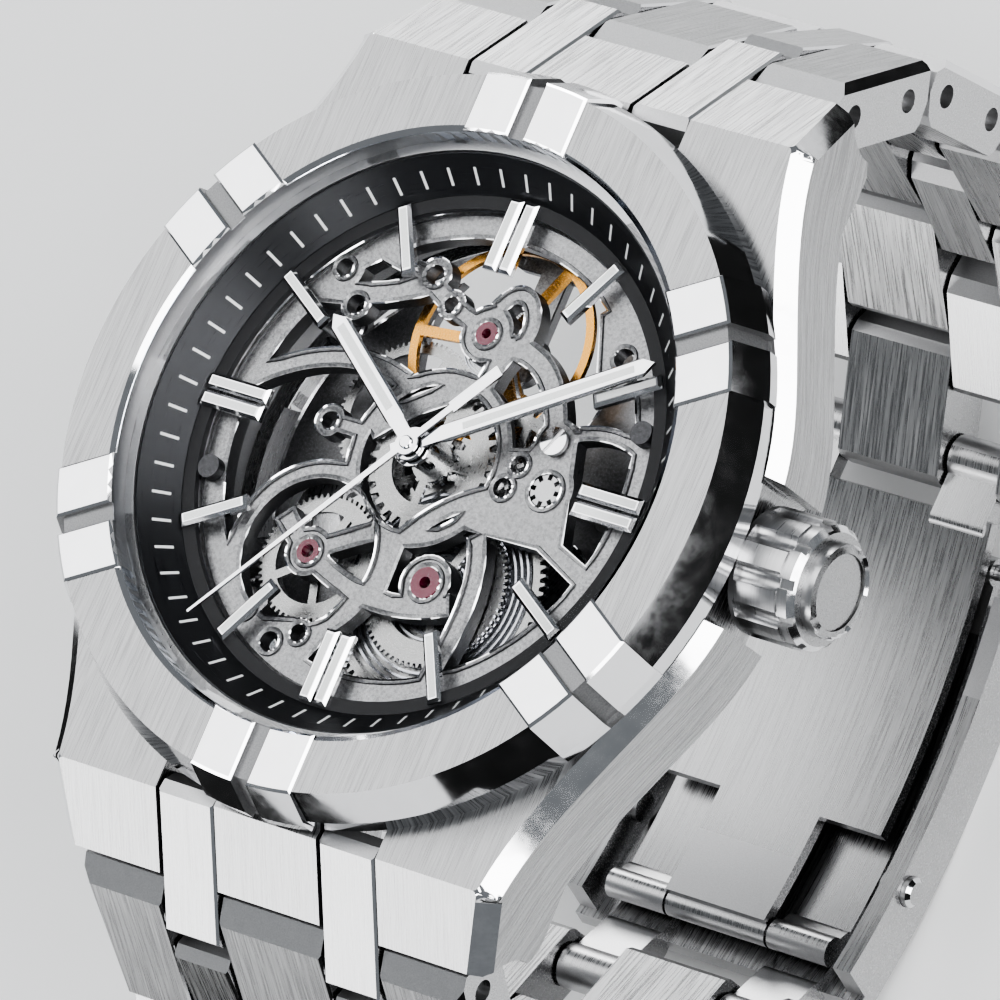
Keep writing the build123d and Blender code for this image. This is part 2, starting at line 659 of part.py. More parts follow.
with BuildPart() as ratchet_wheel:
    add(wheel(BARREL, (WINDING_WHEEL_BOTTOM, WINDING_WHEEL_TOP), 72, RATCHET_MODULE, REDUCTION_ANGLE, 1.1, 5, 1.5))
    with BuildSketch(Plane.XY.offset(5.2)):
        with Locations(BARREL):
            Circle(0.75)
    extrude(amount=WINDING_WHEEL_TOP - 5.2)
export(ratchet_wheel, "ratchet_wheel")

with BuildPart() as reduction_wheel:
    levels = (WINDING_WHEEL_BOTTOM, WINDING_WHEEL_TOP)
    add(wheel(REDUCTION, levels, 60, RATCHET_MODULE, REDUCTION_ANGLE + 180 + 3, 0.75, 5, 0.9))
    with BuildSketch(Plane.XY.offset(5.0)):
        with Locations(REDUCTION):
            Circle(0.3)
    extrude(amount=1.5)
export(reduction_wheel, "reduction_wheel")

# =====================================================================
# Escapement and balance
# =====================================================================
LEVER_ANGLE = math.degrees(math.atan2(BALANCE[1] - ESCAPE[1], BALANCE[0] - ESCAPE[0]))
with BuildPart() as pallet_fork:
    with BuildSketch(Plane.XY.offset(4.4)):
        with Locations(Location((PALLET[0], PALLET[1], 0), (0, 0, LEVER_ANGLE))):
            with Locations((1.1, 0)):
                Rectangle(2.2, 0.35)
            with Locations((-0.1, 0)):
                Rectangle(0.45, 2.9)
            with Locations((-0.45, 1.35), (-0.45, -1.35)):
                Rectangle(0.7, 0.3)
            Circle(0.5)
            with Locations((2.35, 0.22), (2.35, -0.22)):
                Rectangle(0.4, 0.14)
    extrude(amount=0.16)
    with BuildSketch(Plane.XY.offset(BRIDGE_TOP)):
        with Locations(PALLET):
            Circle(0.18)
    extrude(amount=ARBOR_TOP - BRIDGE_TOP)
export(pallet_fork, "pallet_fork")

BALANCE_RADIUS = 5.15
with BuildPart() as balance_wheel:
    with BuildSketch(Plane.XY.offset(BALANCE_BOTTOM)):
        with Locations(BALANCE):
            Circle(BALANCE_RADIUS)
            Circle(BALANCE_RADIUS - 0.45, mode=Mode.SUBTRACT)
            with PolarLocations(BALANCE_RADIUS / 2, 3, start_angle=65):
                Rectangle(BALANCE_RADIUS, 0.55)
            Circle(0.7)
    extrude(amount=0.3)
    with BuildSketch(Plane.XY.offset(3.85)):
        with Locations(BALANCE):
            Circle(0.2)
    extrude(amount=6.15 - 3.85)
    with BuildSketch(Plane.XY.offset(4.62)):
        with Locations(BALANCE):
            Circle(0.6)
    extrude(amount=0.2)
export(balance_wheel, "balance_wheel")

with BuildPart() as hairspring:
    with BuildSketch(Plane.XY.offset(BALANCE_BOTTOM + 0.4)):
        with Locations(BALANCE):
            for coil in range(6):
                Circle(0.75 + 0.24 * coil)
                Circle(0.75 + 0.24 * coil - 0.07, mode=Mode.SUBTRACT)
            with Locations((1.3, 0)):
                Rectangle(1.4, 0.07)
    extrude(amount=0.14)
export(hairspring, "hairspring")

# =====================================================================
# Back of the movement: bridges and rotor
# =====================================================================
PILLARS = [along(angle, 11.6) for angle in (215, 335, 150)]
with BuildPart() as train_bridge:
    with BuildSketch(Plane.XY.offset(BRIDGE_BOTTOM)):
        Circle(10.6)
        with Locations(BALANCE):
            Circle(BALANCE_RADIUS + 0.5, mode=Mode.SUBTRACT)
        with Locations((7.0, -3.6), (-6.8, -3.4)):
            Circle(2.2, mode=Mode.SUBTRACT)
        with Locations((-1.0, -8.2)):
            SlotCenterToCenter(4.0, 1.4, mode=Mode.SUBTRACT)
        # arm under the escapement pivots
        arm(1.8, (5.6, -0.4), ESCAPE, PALLET)
        with Locations(*PILLARS):
            Circle(1.2)
        with Locations((BALANCE[0], 10)):
            Rectangle(5.6, 6.2, mode=Mode.SUBTRACT)
        with Locations(BALANCE):
            Circle(1.6, mode=Mode.SUBTRACT)
    extrude(amount=BRIDGE_TOP - BRIDGE_BOTTOM)
    # pillars up to the main plate
    with BuildSketch(Plane.XY.offset(BRIDGE_TOP)):
        with Locations(*PILLARS):
            Circle(0.85)
    extrude(amount=PLATE_BOTTOM - BRIDGE_TOP)
    # post that carries the rotor
    with BuildSketch(Plane.XY.offset(ROTOR_BOTTOM)):
        Circle(1.8)
    extrude(amount=BRIDGE_BOTTOM - ROTOR_BOTTOM)
export(train_bridge, "train_bridge")

with BuildPart() as balance_cock:
    with BuildSketch(Plane.XY.offset(BRIDGE_BOTTOM)):
        with Locations(BALANCE):
            Circle(1.4)
        with Locations((BALANCE[0], 9.4)):
            Rectangle(1.7, 5.0)
        with Locations((BALANCE[0], 11.75)):
            SlotCenterToCenter(4.0, 1.5)
    extrude(amount=BRIDGE_TOP - BRIDGE_BOTTOM)
    with BuildSketch(Plane.XY.offset(BRIDGE_TOP)):
        with Locations((BALANCE[0] - 2.0, 12.1), (BALANCE[0] + 2.0, 12.1)):
            Circle(0.5)
    extrude(amount=PLATE_BOTTOM - BRIDGE_TOP)
export(balance_cock, "balance_cock")

with BuildPart() as rotor:
    with BuildSketch(Plane.XY.offset(ROTOR_BOTTOM)):
        Circle(12.3)
        with Locations((0, 7.5)):
            Rectangle(30, 12.6, mode=Mode.SUBTRACT)
        with PolarLocations(6.4, 3, start_angle=-140, angular_range=100, rotate=True):
            SlotCenterToCenter(4.2, 1.9, rotation=90, mode=Mode.SUBTRACT)
        Circle(3.0)
        Circle(1.8 + FIT, mode=Mode.SUBTRACT)
    extrude(amount=0.5)
    with BuildSketch(Plane.XY.offset(ROTOR_BOTTOM + 0.5)):
        Circle(12.3)
        Circle(10.9, mode=Mode.SUBTRACT)
        with Locations((0, 7.5)):
            Rectangle(30, 12.6, mode=Mode.SUBTRACT)
    extrude(amount=0.6)
export(rotor, "rotor")

# =====================================================================
# Jewels and screws
# =====================================================================
with BuildPart() as jewels:
    for place, outer, bore in ((REDUCTION, 0.62, 0.33), (BARREL, 0.8, 0.3), (BALANCE, 0.6, 0.25)):
        with BuildSketch(Plane.XY.offset(JEWEL_BOTTOM)):
            with Locations(place):
                Circle(outer)
                Circle(bore, mode=Mode.SUBTRACT)
        extrude(amount=PLATE_TOP - JEWEL_BOTTOM)
export(jewels, "jewels")

SUNK_SCREW = (7.1, 0.1)
RAISED_SCREW = (6.6, 2.5)
with BuildPart() as movement_screws:
    # notched screw in its boss at 3 o'clock
    with BuildSketch(Plane.XY.offset(HUB_ARM_BOTTOM)):
        with Locations(SUNK_SCREW):
            Circle(0.8)
            with PolarLocations(0.8, 8):
                Rectangle(0.5, 0.24, mode=Mode.SUBTRACT)
    extrude(amount=0.3)
    # slotted screw that stands on the plate
    with BuildSketch(Plane.XY.offset(PLATE_TOP)):
        with Locations(RAISED_SCREW):
            Circle(0.72)
    extrude(amount=0.25)
    with BuildSketch(Plane.XY.offset(PLATE_TOP + 0.1)):
        with Locations(RAISED_SCREW):
            Rectangle(1.5, 0.18, rotation=65)
    extrude(amount=0.2, mode=Mode.SUBTRACT)
    # dial feet posts at 3 and 9 o'clock
    with BuildSketch(Plane.XY.offset(PLATE_TOP)):
        with Locations(along(19.5, 12.05), along(197.5, 12.05)):
            Circle(0.6)
    extrude(amount=0.6)
export(movement_screws, "movement_screws")

# =====================================================================
# Crown and stem
# =====================================================================
CROWN_RADIUS = 3.2
CROWN_START = 18.75
STEM_START = 9.0
STEM_END = 20.6
with BuildPart() as winding_stem:
    with BuildSketch(Plane.YZ.offset(STEM_START)):
        with Locations((0, CROWN_Z)):
            Circle(STEM_RADIUS)
    extrude(amount=STEM_END - STEM_START)
export(winding_stem, "winding_stem")

with BuildPart() as crown:
    with BuildSketch(Plane.YZ.offset(CROWN_START)):
        with Locations((0, CROWN_Z)):
            Circle(CROWN_RADIUS)
    extrude(amount=3.0)
    chamfer(crown.edges().group_by(Axis.X)[0], length=0.25)
    with BuildSketch(Plane.YZ.offset(CROWN_START + 0.5)):
        with Locations((0, CROWN_Z)):
            with PolarLocations(CROWN_RADIUS + 0.35, 10):
                Circle(0.62)
    extrude(amount=4, mode=Mode.SUBTRACT)
    with BuildSketch(Plane.YZ.offset(CROWN_START + 3.0)):
        with Locations((0, CROWN_Z)):
            Circle(CROWN_RADIUS - 0.1)
    extrude(amount=0.9)
    chamfer(crown.edges().group_by(Axis.X)[-1], length=0.3)
    with BuildSketch(Plane.YZ.offset(CROWN_START + 3.0)):
        with Locations((0, CROWN_Z)):
            with PolarLocations(CROWN_RADIUS - 0.1, 10):
                Rectangle(0.4, 0.5)
    extrude(amount=1.0, mode=Mode.SUBTRACT)
    with BuildSketch(Plane.YZ.offset(CROWN_START + 3.9)):
        with Locations((0, CROWN_Z)):
            Circle(CROWN_RADIUS - 0.85)
    extrude(amount=0.6)
    with BuildSketch(Plane.YZ.offset(CROWN_START - 0.1)):
        with Locations((0, CROWN_Z)):
            Circle(STEM_RADIUS + FIT)
    extrude(amount=STEM_END + 0.15 - CROWN_START, mode=Mode.SUBTRACT)
export(crown, "crown")


# =====================================================================
# Bracelet
# =====================================================================
def link_plane(side, place, angle):
    """Plane of a link's side view: x runs down the bracelet, y points outward."""
    fall = math.radians(angle)
    return Plane(
        origin=(0, side * place[0], place[1]),
        x_dir=(0, side * math.cos(fall), -math.sin(fall)),
        z_dir=(side, 0, 0),
    )


def next_pin(place, angle, length):
    """Next pin down the bracelet, as (distance from the dial axis, height)."""
    fall = math.radians(angle)
    return (place[0] + length * math.cos(fall), place[1] - length * math.sin(fall))


def row_width(travelled):
    """Half width of the bracelet after a length travelled from the lug pin."""
    full = ROWS * (BAR_PIN + ROW_PIN)
    return ROW_HALF_WIDTH - (ROW_HALF_WIDTH - CLASP_HALF_WIDTH) * travelled / full


def bars(side, place, angle):
    """The two narrow bars that join one row to the next."""
    with BuildPart() as pair:
        with BuildSketch(link_plane(side, place, angle)):
            with BuildLine():
                Polyline(
                    (-3.0, 1.15), (-2.55, LINK_HALF), (BAR_PIN + 1.2, LINK_HALF), (BAR_PIN + 1.5, 1.3),
                    (BAR_PIN + 1.45, -0.4), (BAR_PIN + 0.9, -1.45), (BAR_PIN + 0.5, -LINK_HALF),
                    (-1.2, -LINK_HALF), (-2.0, -1.2), (-3.0, 0.3),
                    close=True,
                )
            make_face()
            with Locations((0, 0), (BAR_PIN, 0)):
                Circle(PIN_RADIUS + FIT, mode=Mode.SUBTRACT)
        extrude(amount=BAR_OUTER, both=True)
        with BuildSketch(Plane.XY.offset(-60)):
            Rectangle(2 * BAR_INNER, 90)
        extrude(amount=80, mode=Mode.SUBTRACT)
        top_edges = pair.edges().filter_by(lambda edge: edge.length > BAR_PIN + 2)
        chamfer(top_edges.filter_by(lambda edge: outward(edge, side, place, angle) > 1), length=0.12)
    return pair


def outward(edge, side, place, angle):
    """How far an edge's middle stands outward of a link's pin line."""
    fall = math.radians(angle)
    middle = edge.center()
    return (side * middle.Y - place[0]) * math.sin(fall) + (middle.Z - place[1]) * math.cos(fall)


def row(side, place, angle, travelled, split_pin):
    """One wide row: three blocks on two pins."""
    start, finish = -1.65, ROW_PIN + 1.85
    plane = link_plane(side, place, angle)
    with BuildPart() as blocks:
        with BuildSketch(plane):
            with BuildLine():
                Polyline(
                    (start, 0.85), (start + 1.2, LINK_HALF), (finish - 0.2, LINK_HALF), (finish, 1.5),
                    (finish - 0.05, -0.3), (finish - 0.6, -1.4), (finish - 1.0, -LINK_HALF),
                    (start + 1.1, -LINK_HALF), (start + 0.6, -1.3), (start, -0.2),
                    close=True,
                )
            make_face()
            with Locations((0, 0), (ROW_PIN, 0)):
                Circle(PIN_RADIUS, mode=Mode.SUBTRACT)
        extrude(amount=ROW_HALF_WIDTH + 1, both=True)
        plan = Plane(origin=plane.origin, x_dir=plane.x_dir, z_dir=plane.y_dir)
        near, far = row_width(travelled + start), row_width(travelled + finish)
        with BuildSketch(plan):
            with Locations(((start + finish) / 2, 0)):
                Rectangle(finish - start + 1, 2 * CENTRE_HALF)
            for hand in (1, -1):
                with BuildLine():
                    Polyline(
                        (start - 0.5, hand * SIDE_INNER), (finish + 0.5, hand * SIDE_INNER),
                        (finish + 0.5, hand * far), (start - 0.5, hand * near),
                        close=True,
                    )
                make_face()
        extrude(amount=4, both=True, mode=Mode.INTERSECT)
        long_edges = blocks.edges().filter_by(lambda edge: edge.length > ROW_PIN + 1)
        upper = long_edges.filter_by(lambda edge: outward(edge, side, place, angle) > 1)
        inner_edges = upper.filter_by(lambda edge: 1 < abs(edge.center().X) < SIDE_INNER + 0.2)
        outer_edges = upper.filter_by(lambda edge: abs(edge.center().X) > SIDE_INNER + 1.5)
        chamfer(inner_edges, length=0.12)
        chamfer(outer_edges.filter_by(lambda edge: abs(edge.tangent_at(0.5).X) < 0.3), length=0.45)
    with BuildPart() as pins:
        with BuildSketch(plane):
            with Locations((0, 0), (ROW_PIN, 0)):
                Circle(PIN_RADIUS)
        extrude(amount=far - 0.6, both=True)
        if split_pin:
            for hand in (1, -1):
                with BuildSketch(plane.offset(hand * (BAR_INNER + BAR_OUTER) / 2)):
                    with Locations((ROW_PIN, 0)):
                        Circle(PIN_RADIUS + 0.1)
                extrude(amount=(SIDE_INNER - CENTRE_HALF) / 2, both=True, mode=Mode.SUBTRACT)
    return Compound(children=list(blocks.part.solids()) + list(pins.part.solids()))


chain = {"6": [], "12": []}
for name, side in (("6", -1), ("12", 1)):
    pin = (LUG_PIN_Y, LUG_PIN_Z)
    fall = LUG_SLOPE
    for number in range(1, ROWS + 1):
        chain[name].append((pin, fall))
        pair = bars(side, pin, fall)
        export(pair, f"bars_{name}_{number}")
        pin = next_pin(pin, fall, BAR_PIN)
        fall += ROW_BEND
        chain[name].append((pin, fall))
        travelled = number * BAR_PIN + (number - 1) * ROW_PIN
        piece = row(side, pin, fall, travelled, name == "6" and number == ROWS)
        piece.label = f"row_{name}_{number}"
        export_step(piece, f"parts/row_{name}_{number}.step")
        pin = next_pin(pin, fall, ROW_PIN)
        fall += BAR_BEND
CLASP_PIN = pin

# =====================================================================
# Tri-fold clasp: cover, middle blade and inner blade nested on one curve
# =====================================================================
CLASP_CENTRE_Z = CLASP_PIN[1] + math.sqrt(CLASP_RADIUS**2 - CLASP_PIN[0] ** 2)


def on_clasp(angle, radius):
    """Point of the clasp's curve, as (y, z); angle from straight down."""
    turn = math.radians(angle)
    return (radius * math.sin(turn), CLASP_CENTRE_Z - radius * math.cos(turn))


def blade_face(first, last, inner, outer):
    """Curved strip of the clasp in side view, added to the open sketch."""
    middle = (first + last) / 2
    with BuildLine(mode=Mode.PRIVATE) as outline:
        ThreePointArc(on_clasp(first, inner), on_clasp(middle, inner), on_clasp(last, inner))
        Line(on_clasp(last, inner), on_clasp(last, outer))
        ThreePointArc(on_clasp(last, outer), on_clasp(middle, outer), on_clasp(first, outer))
        Line(on_clasp(first, outer), on_clasp(first, inner))
    make_face(outline.edges())


def strut(start, end, width):
    """Straight link between two points of the side view, with round ends."""
    middle = ((start[0] + end[0]) / 2, (start[1] + end[1]) / 2)
    lean = math.degrees(math.atan2(end[1] - start[1], end[0] - start[0]))
    with Locations(middle):
        SlotCenterToCenter(math.dist(start, end), width, rotation=lean)


def halves(inner, outer):
    """Two planes and the reach that together span inner < |x| < outer."""
    middle = (inner + outer) / 2
    return (Plane.YZ.offset(middle), Plane.YZ.offset(-middle)), (outer - inner) / 2


HINGE_1 = on_clasp(CLASP_HINGE, 45.2)      # cover to middle blade
HINGE_2 = on_clasp(-CLASP_HINGE, 44.75)    # middle blade to inner blade
BLADE_HALF = 7.0
WALL_INNER = 8.0
PRONG_PLANES, PRONG_REACH = halves(BAR_INNER, BAR_OUTER)

with BuildPart() as clasp_cover:
    # the plate stops short of its hinge, so that it can fold right back
    with BuildSketch(Plane.YZ):
        blade_face(-COVER_END, CLASP_HINGE - 2.2, 46.1, 47.1)
    extrude(amount=CLASP_HALF_WIDTH, both=True)
    wall_planes, wall_reach = halves(WALL_INNER, CLASP_HALF_WIDTH)
    for plane in wall_planes:
        with BuildSketch(plane):
            blade_face(-COVER_END + 0.6, CLASP_HINGE - 1.5, 43.9, 46.4)
            strut(on_clasp(CLASP_HINGE - 2.5, 45.6), HINGE_1, 1.9)
        extrude(amount=wall_reach, both=True)
    for plane in PRONG_PLANES:
        with BuildSketch(plane):
            strut(on_clasp(-COVER_END + 2, 46.4), on_clasp(-COVER_END - 1.2, 45.9), 1.2)
            strut(on_clasp(-COVER_END - 0.6, 46.0), (-CLASP_PIN[0], CLASP_PIN[1]), 1.6)
            with Locations((-CLASP_PIN[0], CLASP_PIN[1])):
                Circle(1.2)
        extrude(amount=PRONG_REACH, both=True)
    # hinge pin and push-piece bores
    with BuildSketch(Plane.YZ):
        with Locations(HINGE_1):
            Circle(0.4)
    extrude(amount=WALL_INNER + 0.3, both=True)
    with BuildSketch(Plane.YZ):
        with Locations(on_clasp(-8, 44.95)):
            Circle(0.8 + FIT)
    extrude(amount=CLASP_HALF_WIDTH + 1, both=True, mode=Mode.SUBTRACT)
export(clasp_cover, "clasp_cover")

with BuildPart() as clasp_middle_blade:
    with BuildSketch(Plane.YZ):
        blade_face(-CLASP_HINGE + 1, CLASP_HINGE - 0.4, 45.15, 45.75)
        with Locations(HINGE_1):
            Circle(0.75)
            Circle(0.4 + FIT, mode=Mode.SUBTRACT)
    extrude(amount=BLADE_HALF, both=True)
    knuckle_planes, knuckle_reach = halves(CENTRE_HALF + 0.15, BLADE_HALF)
    for plane in knuckle_planes:
        with BuildSketch(plane):
            strut(HINGE_2, on_clasp(-CLASP_HINGE + 1.4, 45.3), 0.9)
            with Locations(HINGE_2):
                Circle(0.8)
        extrude(amount=knuckle_reach, both=True)
    with BuildSketch(Plane.YZ):
        with Locations(HINGE_2):
            Circle(0.4)
    extrude(amount=BLADE_HALF - 0.2, both=True)
export(clasp_middle_blade, "clasp_middle_blade")

with BuildPart() as clasp_inner_blade:
    with BuildSketch(Plane.YZ):
        blade_face(-5.5, COVER_END + 1.0, 43.5, 44.2)
    extrude(amount=BLADE_HALF, both=True)
    with BuildSketch(Plane.YZ):
        blade_face(-CLASP_HINGE, -5.0, 43.5, 44.2)
        with Locations(HINGE_2):
            Circle(0.8)
            Circle(0.4 + FIT, mode=Mode.SUBTRACT)
    extrude(amount=CENTRE_HALF, both=True)
    for plane in PRONG_PLANES:
        with BuildSketch(plane):
            strut(on_clasp(COVER_END + 0.4, 43.85), CLASP_PIN, 1.0)
            with Locations(CLASP_PIN):
                Circle(1.2)
                Circle(PIN_RADIUS + FIT, mode=Mode.SUBTRACT)
        extrude(amount=PRONG_REACH, both=True)
    with BuildSketch(Plane.YZ):
        with Locations(CLASP_PIN):
            Circle(PIN_RADIUS + FIT)
    extrude(amount=BLADE_HALF, both=True, mode=Mode.SUBTRACT)
export(clasp_inner_blade, "clasp_inner_blade")

for name, hand in (("right", 1), ("left", -1)):
    with BuildPart() as push_piece:
        with BuildSketch(Plane.YZ.offset(hand * 7.75)):
            with Locations(on_clasp(-8, 44.95)):
                Circle(0.8)
        extrude(amount=hand * 1.85)
        chamfer(push_piece.edges().group_by(Axis.X)[-1 if hand > 0 else 0], length=0.2)
    export(push_piece, f"clasp_button_{name}")
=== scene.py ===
import math

import bmesh
import bpy
from mathutils import Matrix, Vector


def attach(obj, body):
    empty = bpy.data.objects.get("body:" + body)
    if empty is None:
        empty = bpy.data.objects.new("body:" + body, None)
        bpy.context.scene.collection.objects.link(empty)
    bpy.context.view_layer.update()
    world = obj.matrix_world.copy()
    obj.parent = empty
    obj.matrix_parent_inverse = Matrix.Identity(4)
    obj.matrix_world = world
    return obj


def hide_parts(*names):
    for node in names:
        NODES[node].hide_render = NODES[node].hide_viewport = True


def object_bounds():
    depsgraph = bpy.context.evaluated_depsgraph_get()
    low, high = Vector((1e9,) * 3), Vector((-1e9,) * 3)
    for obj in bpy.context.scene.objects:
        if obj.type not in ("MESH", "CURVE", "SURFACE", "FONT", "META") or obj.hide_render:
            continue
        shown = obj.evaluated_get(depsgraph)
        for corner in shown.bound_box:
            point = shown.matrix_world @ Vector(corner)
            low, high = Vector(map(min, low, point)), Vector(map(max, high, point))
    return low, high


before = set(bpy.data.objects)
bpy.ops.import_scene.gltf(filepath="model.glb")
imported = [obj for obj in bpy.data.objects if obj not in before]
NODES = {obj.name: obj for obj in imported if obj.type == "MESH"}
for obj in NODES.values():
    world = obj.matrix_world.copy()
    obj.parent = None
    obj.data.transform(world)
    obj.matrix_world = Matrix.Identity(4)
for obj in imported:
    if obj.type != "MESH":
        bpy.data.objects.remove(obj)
bpy.context.view_layer.update()
CAD_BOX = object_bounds()
MM = 0.001

UP = Vector((0, 0, 1))
DOWN = Vector((0, 0, -1))
OUT_RIGHT = Vector((1, 0, 0))

# ---------------------------------------------------------------- sizes, in millimetres and degrees
PLATE_TOP = 7.1
BRIDGE_TOP = 3.7
BRIDGE_BOTTOM = 3.1
ROTOR_BOTTOM = 1.75
CROWN_END = 23.25

DIAL_CENTRE = (0, 0)
BARREL = (2.75, -5.9)
BALANCE = (0.3, 6.7)
REDUCTION = (-4.4, -6.1)
HOUR_ANGLE = 145.2         # counter-clockwise from +X, seen from the dial side
MINUTE_ANGLE = 32.4

REHAUT_INNER = 13.4
REHAUT_OUTER = 14.9
REHAUT_BOTTOM = 7.73
REHAUT_TOP = 9.45
TICK_INNER = 13.75
TICK_OUTER = 14.4
HOUR_HAND_TOP = 8.64
MINUTE_HAND_TOP = 9.0
MARKER_TOP = 8.13
PRINT_THICKNESS = 0.012    # ticks and lume


def along(angle, distance):
    """A point at a distance from the dial's centre."""
    turn = math.radians(angle)
    return (distance * math.cos(turn), distance * math.sin(turn))


# ---------------------------------------------------------------- materials
def new_material(name, color, roughness, metallic=1.0):
    made = bpy.data.materials.new(name)
    made.use_nodes = True
    shader = made.node_tree.nodes["Principled BSDF"]
    shader.inputs["Base Color"].default_value = (*color, 1)
    shader.inputs["Roughness"].default_value = roughness
    shader.inputs["Metallic"].default_value = metallic
    return made


def add_node(tree, kind, inputs=(), **settings):
    made = tree.nodes.new(kind)
    for key, value in settings.items():
        setattr(made, key, value)
    for socket, value in dict(inputs).items():
        if isinstance(value, bpy.types.NodeSocket):
            tree.links.new(value, made.inputs[socket])
        else:
            made.inputs[socket].default_value = value
    return made


def polar(tree, position, centre):
    """Coordinates round an upright axis: (angle, radius, height)."""
    moved = add_node(tree, "ShaderNodeVectorMath", {0: position, 1: centre}, operation="SUBTRACT")
    parts = add_node(tree, "ShaderNodeSeparateXYZ", {0: moved.outputs[0]})
    sides = {0: parts.outputs["Y"], 1: parts.outputs["X"]}
    angle = add_node(tree, "ShaderNodeMath", sides, operation="ARCTAN2")
    flat = add_node(tree, "ShaderNodeVectorMath", {0: moved.outputs[0], 1: (1, 1, 0)}, operation="MULTIPLY")
    radius = add_node(tree, "ShaderNodeVectorMath", {0: flat.outputs[0]}, operation="LENGTH")
    joined = add_node(
        tree,
        "ShaderNodeCombineXYZ",
        {"X": angle.outputs[0], "Y": radius.outputs["Value"], "Z": parts.outputs["Z"]},
    )
    return joined.outputs[0]


def add_grain(made, stretch, centre=None, depth=2.0e-6, rough_swing=0.08, tone_swing=0.08, detail=3.0):
    """Noise scaled by stretch (per metre) drives roughness, tone and a fine bump of this depth in metres.

    With a centre, the noise follows turned circles and stretch is (round, outwards, upwards).
    """
    tree = made.node_tree
    shader = tree.nodes["Principled BSDF"]
    position = add_node(tree, "ShaderNodeTexCoord").outputs["Object"]
    if centre is not None:
        position = polar(tree, position, centre)
    scaled = add_node(tree, "ShaderNodeVectorMath", {0: position, 1: stretch}, operation="MULTIPLY")
    pattern = {"Vector": scaled.outputs[0], "Scale": 1.0, "Detail": detail, "Roughness": 0.6}
    noise = add_node(tree, "ShaderNodeTexNoise", pattern).outputs["Fac"]

    base_rough = shader.inputs["Roughness"].default_value
    rough = add_node(
        tree,
        "ShaderNodeMapRange",
        {
            "Value": noise,
            "From Min": 0.3,
            "From Max": 0.7,
            "To Min": max(base_rough - rough_swing, 0.02),
            "To Max": base_rough + rough_swing,
        },
    )
    tree.links.new(rough.outputs[0], shader.inputs["Roughness"])

    base = Vector(shader.inputs["Base Color"].default_value[:3])
    spread = add_node(tree, "ShaderNodeMapRange", {"Value": noise, "From Min": 0.35, "From Max": 0.65})
    tone = add_node(tree, "ShaderNodeMix", data_type="RGBA")
    tree.links.new(spread.outputs[0], tone.inputs["Factor"])
    tone.inputs[6].default_value = (*(base * (1 - tone_swing)), 1)
    tone.inputs[7].default_value = (*(base * (1 + tone_swing)), 1)
    tree.links.new(tone.outputs[2], shader.inputs["Base Color"])

    bump = add_node(tree, "ShaderNodeBump", {"Height": noise, "Distance": depth, "Strength": 1.0})
    tree.links.new(bump.outputs[0], shader.inputs["Normal"])


def surface(name, color, roughness, stretch, metallic=1.0, **grain):
    """A material with a grain; a single number as stretch gives a grain that is even in all directions."""
    made = new_material(name, color, roughness, metallic)
    if isinstance(stretch, (int, float)):
        stretch = (stretch, stretch, stretch)
    add_grain(made, stretch, **grain)
    return made


def turned_metal(name, centre, color, roughness, turns, fine, **grain):
    """Metal turned about an upright axis at centre, in millimetres."""
    axis = (centre[0] * MM, centre[1] * MM, 0)
    return surface(name, color, roughness, (turns, fine, fine), centre=axis, **grain)


def sapphire(name):
    """Coated crystal: clear, with a faint gloss that grows towards grazing angles."""
    made = new_material(name, (0.88, 0.92, 1.0), 0.02)
    tree = made.node_tree
    shader = tree.nodes["Principled BSDF"]
    fresnel = add_node(tree, "ShaderNodeFresnel", {"IOR": 1.07})
    tree.links.new(fresnel.outputs[0], shader.inputs["Alpha"])
    return made


STEEL = (0.52, 0.52, 0.525)
BRIGHT = (0.72, 0.72, 0.73)
BRUSHED = (0.35, 0.35, 0.353)
FLANK_STEEL = (0.44, 0.44, 0.443)
LINK_STEEL = (0.38, 0.38, 0.383)
CAP_STEEL = (0.46, 0.46, 0.465)
RHODIUM = (0.40, 0.40, 0.405)
GAP_GREY = (0.36, 0.36, 0.365)
EDGE_STEEL = (0.7, 0.7, 0.71)
WALL_GREY = (0.20, 0.20, 0.205)
BRIDGE_GREY = (0.22, 0.22, 0.225)
ROTOR_GREY = (0.55, 0.55, 0.56)
WHEEL_GREY = (0.34, 0.34, 0.338)
POST_GREY = (0.10, 0.10, 0.105)
ACROSS = 9000.0            # grain of a brushed face, per metre, across and along the strokes
ALONG = 260.0

brushed_y = surface(
    "brushed_along_y", BRUSHED, 0.30, (ACROSS, ALONG, ALONG), depth=5.0e-6, tone_swing=0.26
)
brushed_flank = surface("brushed_flank", FLANK_STEEL, 0.28, (ALONG, ALONG, ACROSS), tone_swing=0.22)
polished = surface("polished_steel", BRIGHT, 0.07, 900, depth=2.0e-7, rough_swing=0.03, tone_swing=0.02)
satin = surface("satin_steel", STEEL, 0.38, 16000, depth=1.5e-6, rough_swing=0.06)
grained = surface(
    "grained_rhodium", RHODIUM, 0.42, 6500, depth=2.0e-5, rough_swing=0.1, tone_swing=0.34, detail=4.0
)
sunk = surface("grained_gap", GAP_GREY, 0.5, 12000, depth=8.0e-6, tone_swing=0.15)
plate_edge = surface("polished_plate_edge", EDGE_STEEL, 0.12, 2000, depth=4.0e-7, tone_swing=0.03)
plate_wall = surface("plate_wall", WALL_GREY, 0.35, (3000, 3000, 9000), depth=2.0e-6, tone_swing=0.1)
rehaut_dark = surface(
    "rehaut_dark", (0.05, 0.051, 0.054), 0.34, (6, 22000, 22000), metallic=0.85, centre=(0, 0, 0),
    depth=1.5e-6, tone_swing=0.2,
)
dial_black = surface(
    "dial_black", (0.018, 0.018, 0.020), 0.5, 9000, metallic=0.0, depth=2.0e-6, tone_swing=0.2
)
white_print = surface(
    "white_print", (0.86, 0.86, 0.85), 0.45, 8000, metallic=0.0, depth=5.0e-7, tone_swing=0.02
)
